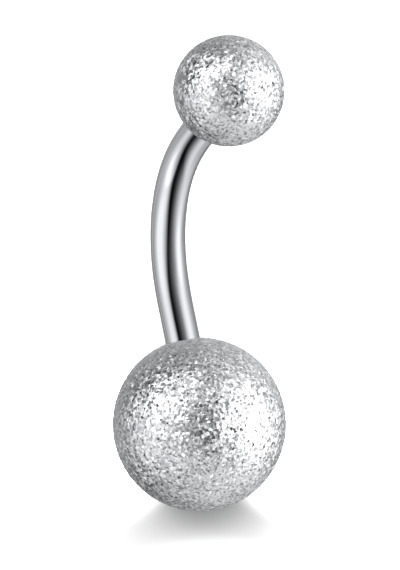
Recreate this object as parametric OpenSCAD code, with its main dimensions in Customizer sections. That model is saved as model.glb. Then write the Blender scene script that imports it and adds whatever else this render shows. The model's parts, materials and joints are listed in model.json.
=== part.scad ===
// A navel ring: a curved bar with a ball screwed on each end, lying on a flat surface.
// It rests on both balls and on the outside of the bar's bend. Sizes are in millimetres.

/* [Bar] */
// Thickness of the bar's wire
bar_d = 1.63; // [1.3:0.01:1.9]
// Radius of the bend, to the middle of the wire
bend_radius = 6.8; // [5.5:0.1:9]
// Angle that the bend turns the wire through
bend_angle = 70; // [55:1:85]
// Straight wire between each end of the bend and the ball's surface
straight_len = 2.1; // [1.2:0.1:4]
// How much thinner in radius the straight ends are ground than the bent wire
ground_relief = 0.005; // [0.005:0.001:0.02]
// How far the straight ends reach into the bend, so that the two are one piece
end_root = 0.2; // [0.1:0.05:0.2]

/* [Balls] */
// Diameter of the large ball
large_ball_d = 8; // [6:0.1:10]
// Diameter of the small ball
small_ball_d = 5; // [4:0.1:8]
// Gap round the wire in the ball's hole
hole_clearance = 0.02; // [0.02:0.005:0.06]
// Width of the chamfer at the hole's mouth
mouth_chamfer = 0.06; // [0.03:0.01:0.09]
// How far the plain wire goes in below the ball's surface
seat_depth = 0.25; // [0.22:0.01:0.4]
// Empty depth of the hole past the tip of the thread
hole_spare = 0.25; // [0.1:0.05:0.4]
// Point angle of the drilled hole's floor
drill_angle = 118; // [100:1:135]

/* [Thread] */
// Length of the threaded stud on each end of the bar, tip included
thread_len = 2; // [1.5:0.1:2.4]
// Distance from one thread ridge to the next
thread_pitch = 0.35; // [0.25:0.05:0.45]
// How far the ridges' crests lie below the wire's surface
crest_drop = 0.03; // [0.01:0.01:0.06]
// Height of a ridge above the stud's core
ridge_height = 0.19; // [0.1:0.01:0.24]
// Length and depth of the chamfer at the stud's tip
tip_chamfer = 0.12; // [0.05:0.01:0.2]

/* [Hidden] */
$fn = 96;

// The two ends of the bar, as signs along the bar's own X axis
small_end = 1;
large_end = -1;

bar_r = bar_d / 2;
end_r = bar_r - ground_relief;
large_r = large_ball_d / 2;
small_r = small_ball_d / 2;
half_bend = bend_angle / 2;

// Stud and hole, measured along the wire from the end of the bend
plain_len = straight_len + seat_depth;
stud_tip = plain_len + thread_len;
crest_r = end_r - crest_drop;
core_r = crest_r - ridge_height;
ridge_count = floor((thread_len - tip_chamfer) / thread_pitch);
hole_r = end_r + hole_clearance;
hole_end = stud_tip + hole_spare;
hole_point = hole_end + hole_r / tan(drill_angle / 2);

// Ball centres in the bar's own frame: the bend's centre is the origin, +Y points to the middle of
// the bend, +X to the small ball, and +Z out of the bend's plane
function bend_end(side) = bend_radius * [side * sin(half_bend), cos(half_bend)];
function outward(side) = [side * cos(half_bend), -sin(half_bend)];
function ball_centre(side, r) = bend_end(side) + outward(side) * (straight_len + r);

small_centre = ball_centre(small_end, small_r);
large_centre = ball_centre(large_end, large_r);
between = small_centre - large_centre;
centre_distance = norm(between);
line_turn = atan2(between[1], between[0]);

// The bend's centre seen from the large ball: along the line of the balls, and square to it towards the bend
along = -(large_centre * between) / centre_distance;
across = (large_centre[0] * between[1] - large_centre[1] * between[0]) / centre_distance;

// Resting pose: the line of the balls dips to the small one, and the bar rolls about it until it
// meets the surface. If the bend is too shallow for that, it hangs straight down between the balls.
dip = asin((large_r - small_r) / centre_distance);
reach = large_r - bar_r - sin(dip) * along;
quad_a = bend_radius * bend_radius - across * across;
quad_b = 2 * reach * across;
quad_c = pow(bend_radius * sin(dip), 2) - reach * reach;
bend_drop = (sqrt(quad_b * quad_b - 4 * quad_a * quad_c) - quad_b) / (2 * quad_a);
roll = asin(min(1, bend_drop / cos(dip)));

// The large ball's centre, with the middle of the whole part's base at the origin
bend_side = max(large_r, small_r, (bend_radius + across) * cos(roll) + bar_r);
large_place = [
    (large_r - small_r - centre_distance * cos(dip)) / 2,
    (max(large_r, small_r) - bend_side) / 2,
    large_r
];

module lay_down()
    translate(large_place)
        rotate([-roll, dip, 0])
            rotate([0, 0, -line_turn])
                translate([-large_centre[0], -large_centre[1], 0])
                    children();

// Puts its children's origin at an end of the bend, with +Z outward along the wire
module at_end(side)
    translate([bend_end(side)[0], bend_end(side)[1], 0])
        rotate([0, 0, atan2(outward(side)[1], outward(side)[0])])
            rotate([0, 90, 0])
                children();

module bend()
    rotate([0, 0, 90 - half_bend])
        rotate_extrude(angle = bend_angle)
            translate([bend_radius, 0])
                circle(r = bar_r);

// One end of the bar: the straight wire and its stud, whose thread is a row of ring-shaped ridges
module threaded_end() {
    ridges = [
        for (i = [0 : ridge_count - 1])
            each [
                [core_r, plain_len + i * thread_pitch],
                [crest_r, plain_len + (i + 0.5) * thread_pitch]
            ]
    ];
    rotate_extrude()
        polygon(concat(
            [[0, -end_root], [end_r, -end_root], [end_r, plain_len]],
            ridges,
            [
                [core_r, plain_len + ridge_count * thread_pitch],
                [core_r, stud_tip - tip_chamfer],
                [core_r - tip_chamfer, stud_tip],
                [0, stud_tip]
            ]
        ));
}

// What is cut out of a ball: a chamfered mouth, the round hole and the drill's point
module ball_hole(r) {
    chamfer_end = straight_len + r - sqrt(r * r - hole_r * hole_r) + mouth_chamfer;
    rotate_extrude()
        polygon([
            [0, 0],
            [hole_r + chamfer_end, 0],
            [hole_r, chamfer_end],
            [hole_r, hole_end],
            [0, hole_point]
        ]);
}

module ball(side, r)
    lay_down()
        at_end(side)
            difference() {
                translate([0, 0, straight_len + r])
                    sphere(r = r);
                ball_hole(r);
            }

module bar()
    color("gainsboro")
        lay_down()
            union() {
                bend();
                for (side = [small_end, large_end])
                    at_end(side)
                        threaded_end();
            }

module small_ball()
    color("silver")
        ball(small_end, small_r);

module large_ball()
    color("silver")
        ball(large_end, large_r);

bar();
small_ball();
large_ball();
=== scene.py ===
import json
import math

import bpy
from mathutils import Matrix, Vector


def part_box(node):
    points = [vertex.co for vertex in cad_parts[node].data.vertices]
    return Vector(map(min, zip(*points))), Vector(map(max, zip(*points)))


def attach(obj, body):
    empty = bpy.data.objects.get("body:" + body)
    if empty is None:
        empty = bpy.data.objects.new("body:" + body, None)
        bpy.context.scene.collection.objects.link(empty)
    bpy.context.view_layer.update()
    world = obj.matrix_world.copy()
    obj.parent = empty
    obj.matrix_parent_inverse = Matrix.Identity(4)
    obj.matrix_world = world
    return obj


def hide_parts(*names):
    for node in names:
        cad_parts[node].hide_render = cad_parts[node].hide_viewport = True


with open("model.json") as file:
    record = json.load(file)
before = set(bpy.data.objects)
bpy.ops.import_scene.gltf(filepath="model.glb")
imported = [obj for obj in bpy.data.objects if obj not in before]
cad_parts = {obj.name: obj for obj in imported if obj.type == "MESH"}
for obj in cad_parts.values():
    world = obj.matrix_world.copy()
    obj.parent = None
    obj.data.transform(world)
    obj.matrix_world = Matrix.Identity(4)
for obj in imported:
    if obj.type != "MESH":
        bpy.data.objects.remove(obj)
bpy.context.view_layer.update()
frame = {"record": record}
print("stage 1: frame loaded")


# Nodes. A Value is one socket that takes part in plain arithmetic, in a material or in a geometry tree.

class Value:
    def __init__(self, graph, socket):
        self.graph = graph
        self.socket = socket

    # Another output of the same node
    def other(self, name):
        return Value(self.graph, self.socket.node.outputs[name])

    def __add__(self, other):
        return self.graph.math("ADD", self, other)

    __radd__ = __add__

    def __sub__(self, other):
        return self.graph.math("SUBTRACT", self, other)

    def __rsub__(self, other):
        return self.graph.math("SUBTRACT", other, self)

    def __mul__(self, other):
        return self.graph.math("MULTIPLY", self, other)

    __rmul__ = __mul__

    def __truediv__(self, other):
        return self.graph.math("DIVIDE", self, other)

    def __rtruediv__(self, other):
        return self.graph.math("DIVIDE", other, self)

    def __pow__(self, other):
        return self.graph.math("POWER", self, other)

    def __rpow__(self, other):
        return self.graph.math("POWER", other, self)


class Graph:
    def __init__(self, tree):
        self.tree = tree

    # Any node: its settings come first, then its sockets by name or number. Gives back one output.
    def node(self, kind, settings=None, sockets=None, output=0):
        made = self.tree.nodes.new(kind)
        for name, setting in (settings or {}).items():
            setattr(made, name, setting)
        for name, given in (sockets or {}).items():
            if isinstance(given, Value):
                self.tree.links.new(given.socket, made.inputs[name])
            else:
                made.inputs[name].default_value = given
        return Value(self, made.outputs[output]) if made.outputs else made

    def math(self, operation, *values):
        return self.node("ShaderNodeMath", {"operation": operation}, dict(enumerate(values)))

    def vector(self, operation, *values, output=0):
        return self.node("ShaderNodeVectorMath", {"operation": operation}, dict(enumerate(values)), output)

    def scaled(self, vector, factor):
        return self.node("ShaderNodeVectorMath", {"operation": "SCALE"}, {0: vector, "Scale": factor})

    def dot(self, a, b):
        return self.vector("DOT_PRODUCT", a, b, output="Value")

    # Goes smoothly from low to high while the value goes from start to end
    def ease(self, value, start, end, low=0.0, high=1.0):
        return self.node(
            "ShaderNodeMapRange",
            {"interpolation_type": "SMOOTHSTEP"},
            {"Value": value, "From Min": start, "From Max": end, "To Min": low, "To Max": high},
        )

    def mixed(self, factor, low, high):
        return low + (high - low) * factor

    def split(self, vector):
        parts = self.node("ShaderNodeSeparateXYZ", None, {"Vector": vector})
        return parts, parts.other("Y"), parts.other("Z")

    def joined(self, x, y, z):
        return self.node("ShaderNodeCombineXYZ", None, {"X": x, "Y": y, "Z": z})


def newMaterial(name):
    material = bpy.data.materials.new(name)
    material.use_nodes = True
    material.node_tree.nodes.clear()
    return material, Graph(material.node_tree)


# Ends a material's graph in its one shader
def addShader(graph, sockets):
    shader = graph.node("ShaderNodeBsdfPrincipled", None, sockets)
    graph.node("ShaderNodeOutputMaterial", None, {"Surface": shader})


# Where things are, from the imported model

mounts = {mount["name"]: mount for mount in frame["record"]["mounts"]}
smallAxis = Vector(mounts["small_end"]["axis"]).normalized()  # outward along the wire
largeAxis = Vector(mounts["large_end"]["axis"]).normalized()
barAlong = (smallAxis - largeAxis).normalized()
barBulge = -(smallAxis + largeAxis).normalized()
barSide = barAlong.cross(barBulge)
millimetre = 0.001  # metres


# The matrix that carries a piece's own frame, in millimetres, to its place in the model
def placement(origin, x, z):
    axes = Matrix((x, z.cross(x), z)).transposed().to_4x4()
    return Matrix.Translation(origin) @ axes @ Matrix.Scale(millimetre, 4)


# The camera stands where the photograph was taken from

cameraSetup = {
    "azimuth": 51.4233,  # degrees
    "elevation": 51.9032,
    "roll": -132.1237,
    "target": (-0.000264, 0.000084, 0.004006),
    "distance": 0.2222,  # metres
    "lens": 309.815,  # millimetres
    "sensor": 36,
    "clip": (0.01, 5.0),  # metres
}


# Right, up and back as the camera sees them
def cameraAxes(setup):
    azimuth, elevation, roll = (math.radians(setup[name]) for name in ("azimuth", "elevation", "roll"))
    back = Vector((
        math.sin(azimuth) * math.cos(elevation),
        -math.cos(azimuth) * math.cos(elevation),
        math.sin(elevation),
    ))
    level = Vector((math.cos(azimuth), math.sin(azimuth), 0))
    upright = back.cross(level)
    right = math.cos(roll) * level + math.sin(roll) * upright
    return right, back.cross(right), back


def addCamera(setup):
    right, up, back = cameraAxes(setup)
    data = bpy.data.cameras.new("photoCamera")
    data.lens = setup["lens"]
    data.sensor_width = setup["sensor"]
    data.clip_start, data.clip_end = setup["clip"]
    camera = bpy.data.objects.new("photoCamera", data)
    bpy.context.scene.collection.objects.link(camera)
    turn = Matrix((right, up, back)).transposed().to_4x4()
    camera.matrix_world = Matrix.Translation(Vector(setup["target"]) + back * setup["distance"]) @ turn
    bpy.context.scene.camera = camera


addCamera(cameraSetup)
bpy.context.scene.view_settings.view_transform = "Standard"
print("stage 2: camera placed")


# The light in the studio that the metal mirrors: oval soft lamps, each at an angle across and up from the
# line to the camera. A lamp is wide and long by its half angles and leans to one side. It is full inside
# the inner share of its size and gone at its edge, and a higher power fades it sooner.

lamps = {
    "left": {
        "across": -65, "up": -20, "lean": -30,
        "wide": 60, "long": 45, "inner": 0.6, "power": 0.8, "level": 0.75,
    },
    "leftCore": {
        "across": -60, "up": -25, "lean": -20,
        "wide": 40, "long": 50, "inner": 0.25, "power": 1.1, "level": 0.8,
    },
    "leftLow": {
        "across": -115, "up": -20, "lean": -55,
        "wide": 80, "long": 15, "inner": 0.0, "power": 2.5, "level": 0.9,
    },
    "leftHigh": {
        "across": -50, "up": 35, "lean": 40,
        "wide": 40, "long": 20, "inner": 0.75, "power": 1.0, "level": 3.4,
    },
    "leftUnder": {
        "across": -95, "up": -45, "lean": -60,
        "wide": 30, "long": 15, "inner": 0.5, "power": 2.0, "level": 0.45,
    },
    "right": {
        "across": 65, "up": 15, "lean": -65,
        "wide": 110, "long": 90, "inner": 0.0, "power": 1.5, "level": 0.75,
    },
    "rightCore": {
        "across": 75, "up": -10, "lean": 40,
        "wide": 40, "long": 55, "inner": 0.1, "power": 1.7, "level": 0.75,
    },
    "rightHigh": {
        "across": 120, "up": 30, "lean": -5,
        "wide": 100, "long": 45, "inner": 0.6, "power": 0.8, "level": 0.3,
    },
    "rightLow": {
        "across": 115, "up": -45, "lean": 80,
        "wide": 70, "long": 105, "inner": 0.0, "power": 1.8, "level": 1.1,
    },
    "foot": {
        "across": -165, "up": -60, "lean": 30,
        "wide": 45, "long": 20, "inner": 0.0, "power": 0.8, "level": 0.75,
    },
    "head": {
        "across": -205, "up": 55, "lean": 150,
        "wide": 105, "long": 50, "inner": 0.7, "power": 0.8, "level": 0.45,
    },
}
studio = {
    "dark": 0.001,  # the gaps between the lamps
    "paper": 0.315,  # what lights the floor from all round
    "backdrop": 1.2,  # what the camera sees past the floor
    "tint": (0.975, 0.985, 1.0),
}


# The way from the part to a lamp
def lampWay(lamp):
    right, up, back = cameraAxes(cameraSetup)
    across = math.radians(lamp["across"])
    high = math.radians(lamp["up"])
    return math.cos(high) * (math.sin(across) * right + math.cos(across) * back) + math.sin(high) * up


# How bright a lamp is in each direction
def lampGlow(graph, direction, lamp):
    toward = lampWay(lamp)
    level = cameraAxes(cameraSetup)[1].cross(toward).normalized()
    lean = math.radians(lamp["lean"])
    wide = math.cos(lean) * level + math.sin(lean) * toward.cross(level)
    angle = graph.math("ARCCOSINE", graph.dot(direction, toward)) * math.degrees(1)
    sideways = graph.dot(direction, wide)
    upward = graph.dot(direction, toward.cross(wide))
    spread = graph.math("SQRT", sideways * sideways + upward * upward + 1e-8)  # never quite 0
    sideways = sideways / lamp["wide"]
    upward = upward / lamp["long"]
    share = angle * graph.math("SQRT", sideways * sideways + upward * upward) / spread
    return graph.ease(share, 1.0, lamp["inner"]) ** lamp["power"] * lamp["level"]


def studioWorld(setup):
    world = bpy.data.worlds.new("studio")
    world.use_nodes = True
    world.node_tree.nodes.clear()
    world.cycles.sampling_method = "NONE"  # the metal's own mirror rays find the lamps
    bpy.context.scene.world = world
    graph = Graph(world.node_tree)
    direction = graph.node("ShaderNodeTexCoord", output="Generated")
    level = setup["dark"]
    for lamp in lamps.values():
        level = lampGlow(graph, direction, lamp) + level
    rays = graph.node("ShaderNodeLightPath", output="Is Camera Ray")
    level = graph.mixed(rays.other("Is Glossy Ray"), setup["paper"], level)
    level = graph.mixed(rays, level, setup["backdrop"])
    light = graph.node("ShaderNodeBackground", None, {"Color": (*setup["tint"], 1), "Strength": level})
    graph.node("ShaderNodeOutputWorld", None, {"Surface": light})


studioWorld(studio)

# Lamps that only light the paper: a large one beyond the small ball, which throws the large ball's shadow
# towards the picture's foot, and four narrow ones that whiten the paper beside the balls. Those shine the
# way the camera looks, so the shadows that they throw are hidden behind the part. Sizes are in metres,
# powers in watts and spots in degrees of beam, and a lamp whose spot is 0 is a soft disk.

paperLamps = {
    "key": {
        "at": (0.201, -0.076, 0.17), "aim": (-0.0075, 0.0, 0.0),
        "size": 0.2, "power": 1.95, "spot": 0,
    },
    "near": {
        "at": (0.1163, -0.0936, 0.1958), "aim": (0.0115, 0.0, 0.0),
        "size": 0.004, "power": 5.4, "spot": 9.5,
    },
    "right": {
        "at": (0.0677, -0.0648, 0.1259), "aim": (-0.0095, -0.0032, 0.0),
        "size": 0.001, "power": 7.5, "spot": 2.8,
    },
    "left": {
        "at": (0.0651, -0.0546, 0.1259), "aim": (-0.0121, 0.007, 0.0),
        "size": 0.001, "power": 7.5, "spot": 3.4,
    },
    "foot": {
        "at": (0.0546, -0.0612, 0.1259), "aim": (-0.0226, 0.0004, 0.0),
        "size": 0.001, "power": 3.0, "spot": 4.7,
    },
}


def addPaperLamp(name, setup):
    data = bpy.data.lights.new(name, "SPOT" if setup["spot"] else "AREA")
    if setup["spot"]:
        data.spot_size = math.radians(setup["spot"])
        data.spot_blend = 1.0
        data.shadow_soft_size = setup["size"] / 2
    else:
        data.shape = "DISK"
        data.size = setup["size"]
    data.energy = setup["power"]
    lamp = bpy.data.objects.new(name, data)
    bpy.context.scene.collection.objects.link(lamp)
    stand = Vector(setup["at"])
    turn = (stand - Vector(setup["aim"])).to_track_quat("Z", "Y").to_matrix().to_4x4()
    lamp.matrix_world = Matrix.Translation(stand) @ turn
    lamp.visible_camera = False
    lamp.visible_glossy = False


for name, setup in paperLamps.items():
    addPaperLamp(name + "Lamp", setup)

# Wide soft lamps that only the sparkling balls see, by half their angle in degrees

ballLamps = {
    "right": {"across": 73, "up": 4, "half": 40, "level": 1.7},
    "left": {"across": -67, "up": 25, "half": 22, "level": 0.8},
    "under": {"across": 6, "up": -72, "half": 30, "level": 0.85},
}
ballsOnly = bpy.data.collections.new("ballsOnly")


def addBallLamp(name, setup):
    half = math.radians(setup["half"])
    data = bpy.data.lights.new(name, "SUN")
    data.angle = 2 * half
    data.energy = setup["level"] * math.pi * math.sin(half) ** 2
    data.use_shadow = False
    lamp = bpy.data.objects.new(name, data)
    bpy.context.scene.collection.objects.link(lamp)
    lamp.matrix_world = lampWay(setup).to_track_quat("Z", "Y").to_matrix().to_4x4()
    lamp.light_linking.receiver_collection = ballsOnly


for name, setup in ballLamps.items():
    addBallLamp(name + "BallLamp", setup)

floorSetup = {
    "radius": 2.0,
    "corners": 64,
    "shade": 0.86,
    "lit": 0.03,  # past the lamps' reach the paper turns evenly white, from here
    "white": 0.08,  # to here
}


def addFloor(setup):
    mesh = bpy.data.meshes.new("floor")
    turns = [math.tau * corner / setup["corners"] for corner in range(setup["corners"])]
    rim = [(setup["radius"] * math.cos(turn), setup["radius"] * math.sin(turn), 0) for turn in turns]
    mesh.from_pydata(rim, [], [range(setup["corners"])])
    floor = bpy.data.objects.new("floor", mesh)
    bpy.context.scene.collection.objects.link(floor)
    material, graph = newMaterial("palePaper")
    away = graph.vector("LENGTH", graph.node("ShaderNodeTexCoord", output="Object"), output="Value")
    addShader(graph, {
        "Base Color": (setup["shade"],) * 3 + (1,),
        "Roughness": 1.0,
        "Specular IOR Level": 0.0,
        "Emission Color": graph.scaled((1, 1, 1), graph.ease(away, setup["lit"], setup["white"])),
        "Emission Strength": 1.0,
    })
    mesh.materials.append(material)
    floor.visible_glossy = False  # the metal mirrors the studio, not the paper


addFloor(floorSetup)
print("stage 3: floor and light made")


# Runs one geometry tree and gives back its result as a plain mesh object, in its place
def modelled(name, build, sizes, place):
    tree = bpy.data.node_groups.new(name, "GeometryNodeTree")
    graph = Graph(tree)
    identifiers = {}
    for label, size in sizes.items():
        kind = "NodeSocketInt" if isinstance(size, int) else "NodeSocketFloat"
        identifiers[label] = tree.interface.new_socket(label, in_out="INPUT", socket_type=kind).identifier
    tree.interface.new_socket("Geometry", in_out="OUTPUT", socket_type="NodeSocketGeometry")
    group = graph.node("NodeGroupInput")
    shape = build(graph, {label: group.other(label) for label in sizes})
    graph.node("NodeGroupOutput", None, {"Geometry": shape})

    source = bpy.data.objects.new(name + "Tree", bpy.data.meshes.new(name + "Tree"))
    bpy.context.scene.collection.objects.link(source)
    modifier = source.modifiers.new(name, "NODES")
    modifier.node_group = tree
    for label, size in sizes.items():
        modifier[identifiers[label]] = size
    evaluated = source.evaluated_get(bpy.context.evaluated_depsgraph_get())
    mesh = bpy.data.meshes.new_from_object(evaluated)
    bpy.data.objects.remove(source)
    mesh.name = name
    mesh.transform(place)
    piece = bpy.data.objects.new(name, mesh)
    bpy.context.scene.collection.objects.link(piece)
    print(f"  {name}: {len(mesh.polygons)} faces")
    return piece


# A rod of rings, from -1 to 1 along Z, and for each of its points how far along it lies, its angle, and
# inner, which is 0 in the middle of each end face and 1 elsewhere
def ringedRod(graph, around, rows):
    rod = graph.node(
        "GeometryNodeMeshCylinder",
        {"fill_type": "TRIANGLE_FAN"},
        {"Vertices": around, "Side Segments": rows, "Radius": 1.0, "Depth": 2.0},
    )
    x, y, z = graph.split(graph.node("GeometryNodeInputPosition"))
    return rod, z, graph.math("ARCTAN2", y, x), graph.math("SQRT", x * x + y * y)


flankSlope = 1.5  # of a thread's sides: 1 would leave no flats


# A right-handed spiral: 0 in the root and 1 on the crest, with a flat on each
def threadWave(graph, along, angle, pitch):
    phase = graph.math("FRACT", along / pitch - angle * (1 / math.tau))
    tooth = 1 - graph.math("ABSOLUTE", phase * 2 - 1)
    return graph.node("ShaderNodeClamp", None, {"Value": tooth * flankSlope + (1 - flankSlope) / 2})


# The polished curved bar, with a threaded stud on each end, in millimetres

bar = {
    "Wire Radius": 0.814,
    "Ground Relief": 0.005,  # the straight ends are this much thinner
    "Relief Start": 1.0,  # before the bend's end
    "Relief End": 1.5,  # past the bend's end
    "Bend Radius": 6.8,
    "Bend Easing": 0.4,  # radians over which the bend runs out into the straight ends
    "Straight": 2.1,  # from the bend to the ball's surface
    "Seat": 0.25,  # plain wire inside the ball
    "Shoulder": 0.03,  # half of the slope from the plain wire to the stud
    "Stud": 2.0,
    "Pitch": 0.35,
    "Crest Drop": 0.035,  # from the wire's surface to the thread's crests
    "Ridge": 0.185,  # from the crests to the roots
    "Thread Start": 0.02,  # past the plain wire
    "Thread Full": 0.20,
    "Thread Fade": 0.30,  # before the tip
    "Thread End": 0.12,
    "Tip Chamfer": 0.12,
    "Around": 96,
    "Rows": 560,
}


def buildBar(material, place):
    halfBend = math.acos(-smallAxis.dot(largeAxis)) / 2

    def build(graph, size):
        halfArc = size["Bend Radius"] * halfBend
        plain = size["Straight"] + size["Seat"]
        end = plain + size["Stud"]
        rod, z, angle, inner = ringedRod(graph, size["Around"], size["Rows"])
        along = z * (halfArc + end)
        reach = graph.math("ABSOLUTE", along) - halfArc  # past the bend's end

        ground = graph.ease(reach, 0 - size["Relief Start"], size["Relief End"])
        wire = size["Wire Radius"] - size["Ground Relief"] * ground
        core = size["Wire Radius"] - size["Ground Relief"] - size["Crest Drop"] - size["Ridge"]
        wave = threadWave(graph, along, angle, size["Pitch"])
        wave = wave * graph.ease(reach, plain + size["Thread Start"], plain + size["Thread Full"])
        wave = wave * graph.ease(reach, end - size["Thread End"], end - size["Thread Fade"])
        stud = graph.math("MINIMUM", core + size["Ridge"] * wave, core - size["Tip Chamfer"] + end - reach)
        shoulder = graph.ease(reach, plain - size["Shoulder"], plain + size["Shoulder"])
        radius = graph.mixed(shoulder, wire, stud) * inner

        turned = graph.math("ABSOLUTE", along) / size["Bend Radius"]
        turned = graph.math("SMOOTH_MIN", turned, halfBend, size["Bend Easing"])
        turn = graph.math("SIGN", along) * turned
        past = along - turn * size["Bend Radius"]
        out = size["Bend Radius"] + radius * graph.math("COSINE", angle)
        sine = graph.math("SINE", turn)
        cosine = graph.math("COSINE", turn)
        position = graph.joined(
            out * sine + past * cosine, out * cosine - past * sine, radius * graph.math("SINE", angle)
        )
        bent = graph.node("GeometryNodeSetPosition", None, {"Geometry": rod, "Position": position})
        smooth = graph.node("GeometryNodeSetShadeSmooth", None, {"Geometry": bent})
        plainMesh = graph.node("GeometryNodeRealizeInstances", None, {"Geometry": smooth})
        return graph.node("GeometryNodeSetMaterial", None, {"Geometry": plainMesh, "Material": material})

    return modelled("polishedBar", build, bar, place)


# The balls, in millimetres, and their sparkling finish

sparkle = {
    "grain": 0.12,  # across a facet
    "gentle": 0.31,  # how far all facets lean
    "steepest": 0.9,  # how much further the steepest lean
    "rareness": 3.0,  # of the steep ones
    "drift": 1.1,  # facets by which the pattern is bent out of shape
    "driftWaves": 0.7,  # of that bend in a millimetre
    "crush": 0.5,  # strength of the finest roughness
    "crushDepth": 0.00004,  # metres
    "crushWaves": 8.0,
    # The pits below get painted shade: a darker base colour that stands for the shade inside the finish's
    # tiny hollows
    "pitWaves": 8.5,
    "pitEdge": (0.35, 0.5),  # the noise is below the first in a pit and above the second outside
    # painted shade: the base colour inside a pit
    "paintedPitShade": 0.3,
    "shade": 0.68,
    "roughness": 0.23,
    "roughnessSpread": 0.4,
    "roughnessBias": 1.5,  # higher makes the dull facets fewer
    "tint": (0.985, 0.99, 1.0),
}
ballShared = {
    "Facet Depth": 0.015,  # the deepest facet lies this far below the ball's surface
    "Facet Slope": 0.042,  # how much of a facet's lean its shape has
    "Skin": 0.04,  # what lies deeper than this is the hole
    "Hole Radius": 0.83,
    "Hole Depth": 2.50,  # below the ball's surface, without the drill's point
    "Drill Slope": 0.60,  # height of the drill's point for each unit of radius
    "Mouth Chamfer": 0.06,
    "Mouth Reach": 0.15,  # how far the cut starts outside the ball
    "Thread Radius": 0.80,
    "Groove": 0.05,
    "Pitch": bar["Pitch"],
    "Seat": 0.30,  # plain hole before the thread
    "Thread Full": 0.15,  # past the seat
    "Thread Fade": 0.25,  # before the hole's end
    "Thread End": 0.05,
    "Hole Around": 72,
    "Hole Rows": 132,
}
smallBall = {"Squares": 92, "patternStart": (3.7, 1.369, 2.627)}
largeBall = {"Squares": 122, "patternStart": (11.3, 4.181, 8.023)}


# Soft noise, with its waves in a millimetre
def noise(graph, spot, waves, detail, roughness=0.5):
    return graph.node(
        "ShaderNodeTexNoise", None,
        {"Vector": spot, "Scale": waves, "Detail": detail, "Roughness": roughness},
    )


# Small tilted facets, in cells that a little noise has bent out of shape. The mesh and the material both
# ask for them, so that the two agree.
def facets(graph, spot, own):
    drift = noise(graph, spot, sparkle["driftWaves"], 1.0).other("Color")
    cells = graph.scaled(spot, 1 / sparkle["grain"])
    cells = graph.vector("MULTIPLY_ADD", drift, (sparkle["drift"],) * 3, cells)
    cells = graph.vector("ADD", cells, own["patternStart"])
    cell = graph.node("ShaderNodeTexVoronoi", None, {"Vector": cells, "Scale": 1.0}, "Color")
    middle = cell.other("Position")
    chance = graph.node("ShaderNodeTexWhiteNoise", None, {"Vector": middle}, "Value")
    steep = chance ** sparkle["rareness"] * sparkle["steepest"] + sparkle["gentle"]
    tilt = graph.scaled(graph.vector("SUBTRACT", cell, (0.5, 0.5, 0.5)), steep)
    height = graph.dot(graph.vector("SUBTRACT", cells, middle), tilt)
    return cell, tilt, height


# In a ball's own frame 0 is its centre and Z points away from the bar
def buildBall(name, radius, own, place, outside, inside):
    sizes = {**ballShared, "Radius": radius, "Squares": own["Squares"]}

    # A cube blown up to a ball of even squares, and sunk by the slope and depth of each facet
    def grainedBall(graph, size):
        squares = {"Vertices " + letter: size["Squares"] for letter in "XYZ"}
        cube = graph.node("GeometryNodeMeshCube", None, {**squares, "Size": (2, 2, 2)})
        sides = graph.split(graph.node("GeometryNodeInputPosition"))
        evened = [graph.math("TANGENT", part * (math.pi / 4)) for part in sides]
        outward = graph.vector("NORMALIZE", graph.joined(*evened))
        cell, _, height = facets(graph, graph.scaled(outward, size["Radius"]), own)
        rise = height * size["Facet Slope"] + (graph.split(cell)[0] - 1) * size["Facet Depth"]
        rise = graph.math("MINIMUM", rise, 0.0)
        position = graph.scaled(outward, size["Radius"] + rise)
        ball = graph.node("GeometryNodeSetPosition", None, {"Geometry": cube, "Position": position})
        return graph.node("GeometryNodeSetMaterial", None, {"Geometry": ball, "Material": outside})

    # The drilled hole as a solid. Its first ring stands outside the ball, wide enough for the mouth's
    # chamfer, and the middle of its last face is the drill's point.
    def threadedHole(graph, size):
        hole = size["Hole Radius"]
        rows = size["Hole Rows"]
        rod, z, angle, inner = ringedRod(graph, size["Hole Around"], rows)
        row = (z + 1) * (rows / 2)
        first = graph.math("LESS_THAN", row, 0.5)
        last = graph.math("GREATER_THAN", row, rows - 0.5)
        rim = size["Radius"] - graph.math("SQRT", size["Radius"] * size["Radius"] - hole * hole)
        mouth = rim + size["Mouth Chamfer"]
        depth = graph.mixed((row - 1) / (rows - 1), mouth, size["Hole Depth"])
        depth = graph.mixed(first, depth, 0 - size["Mouth Reach"])
        end = size["Hole Depth"]
        threaded = graph.ease(depth, size["Seat"], size["Seat"] + size["Thread Full"])
        threaded = threaded * graph.ease(depth, end - size["Thread End"], end - size["Thread Fade"])
        groove = size["Thread Radius"] + size["Groove"] * threadWave(graph, depth, angle, size["Pitch"])
        wall = graph.mixed(threaded, hole, groove) + first * (mouth + size["Mouth Reach"])
        point = last * (1 - inner) * hole * size["Drill Slope"]
        position = graph.joined(
            wall * inner * graph.math("COSINE", angle),
            wall * inner * graph.math("SINE", angle),
            depth + point - size["Radius"],
        )
        bore = graph.node("GeometryNodeSetPosition", None, {"Geometry": rod, "Position": position})
        return graph.node("GeometryNodeSetMaterial", None, {"Geometry": bore, "Material": inside})

    def build(graph, size):
        cut = graph.node(
            "GeometryNodeMeshBoolean",
            {"operation": "DIFFERENCE", "solver": "MANIFOLD"},
            {0: grainedBall(graph, size), 1: threadedHole(graph, size)},
        )
        smooth = graph.node("GeometryNodeSetShadeSmooth", None, {"Geometry": cut})
        plainMesh = graph.node("GeometryNodeRealizeInstances", None, {"Geometry": smooth})
        away = graph.vector("LENGTH", graph.node("GeometryNodeInputPosition"), output="Value")
        within = graph.math("LESS_THAN", away, size["Radius"] - size["Skin"])
        return graph.node(
            "GeometryNodeSetMaterial", None, {"Geometry": plainMesh, "Selection": within, "Material": inside}
        )

    return modelled(name, build, sizes, place)


# Materials

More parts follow.
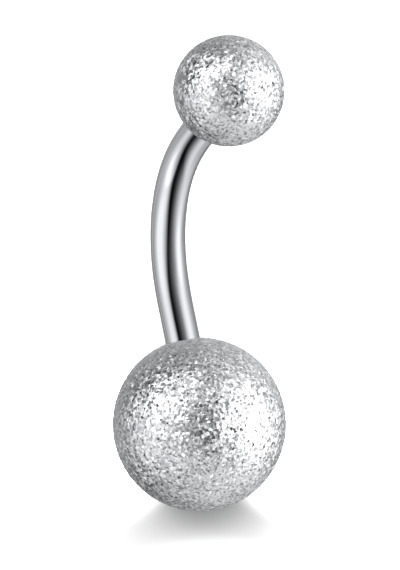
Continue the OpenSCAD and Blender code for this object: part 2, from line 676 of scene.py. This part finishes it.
polish = {
    "tint": (0.595, 0.602, 0.613),
    "hazeWaves": 1.6,  # in a millimetre
    "roughness": 0.02,
    "roughnessSpread": 0.03,
}
bored = {
    "tint": (0.62, 0.63, 0.64),
    "hazeWaves": 9.0,
    "roughness": 0.2,
    "roughnessSpread": 0.2,
}


# A point of the surface in the piece's own frame, in millimetres
def ownSpot(graph, place):
    location, turn, scale = place.decompose()
    return graph.node(
        "ShaderNodeMapping",
        {"vector_type": "TEXTURE"},
        {
            "Vector": graph.node("ShaderNodeTexCoord", output="Object"),
            "Location": location,
            "Rotation": turn.to_euler(),
            "Scale": scale,
        },
    )


def hazySteel(name, finish, place):
    material, graph = newMaterial(name)
    haze = noise(graph, ownSpot(graph, place), finish["hazeWaves"], 3.0)
    addShader(graph, {
        "Base Color": (*finish["tint"], 1),
        "Metallic": 1.0,
        "Roughness": haze * finish["roughnessSpread"] + finish["roughness"],
    })
    return material


def sparkleSteel(name, place, own):
    material, graph = newMaterial(name)
    spot = ownSpot(graph, place)
    cell, tilt, _ = facets(graph, spot, own)
    facing = graph.node("ShaderNodeNewGeometry", output="Normal")
    leaning = graph.vector("NORMALIZE", graph.vector("SUBTRACT", facing, tilt))
    fine = noise(graph, spot, sparkle["crushWaves"], 2.0, 0.6)
    # Noise that marks the pits, where shade is painted into the base colour
    pitShadeMask = noise(graph, spot, sparkle["pitWaves"], 2.0, 0.6)
    crushed = graph.node(
        "ShaderNodeBump", None,
        {"Strength": sparkle["crush"], "Distance": sparkle["crushDepth"], "Height": fine, "Normal": leaning},
    )
    dull = graph.split(cell)[1] ** sparkle["roughnessBias"]
    # Painted shade: the base colour is darker where the noise marks a pit, for the shade inside the finish's
    # tiny hollows
    shade = graph.ease(pitShadeMask, *sparkle["pitEdge"], sparkle["paintedPitShade"], sparkle["shade"])
    addShader(graph, {
        "Base Color": graph.scaled(sparkle["tint"], shade),
        "Metallic": 1.0,
        "Roughness": dull * sparkle["roughnessSpread"] + sparkle["roughness"],
        "Normal": crushed,
    })
    return material


bendMiddle = Vector(mounts["piercing"]["pos_m"]) - barBulge * bar["Bend Radius"] * millimetre
barPlace = placement(bendMiddle, barAlong, barSide)
polishedBar = buildBar(hazySteel("polishedSteel", polish, barPlace), barPlace)
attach(polishedBar, "bar")
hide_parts("bar")
polishedBar.visible_glossy = False  # the pieces mirror the studio alone, not each other
print("stage 4: bar made")

for name, node, axis, end, own in (
    ("sparkleBallSmall", "small_ball", smallAxis, "small_end", smallBall),
    ("sparkleBallLarge", "large_ball", largeAxis, "large_end", largeBall),
):
    low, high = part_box(node)
    radius = (high.z - low.z) / 2 / millimetre
    middle = Vector(mounts[end]["pos_m"]) + axis * (bar["Straight"] / 2 + radius) * millimetre
    place = placement(middle, barSide, axis)
    outside = sparkleSteel(name + "Steel", place, own)
    inside = hazySteel(name + "Bore", bored, place)
    ball = buildBall(name, radius, own, place, outside, inside)
    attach(ball, node)
    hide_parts(node)
    ball.visible_glossy = False
    ballsOnly.objects.link(ball)
print("stage 5: balls made")
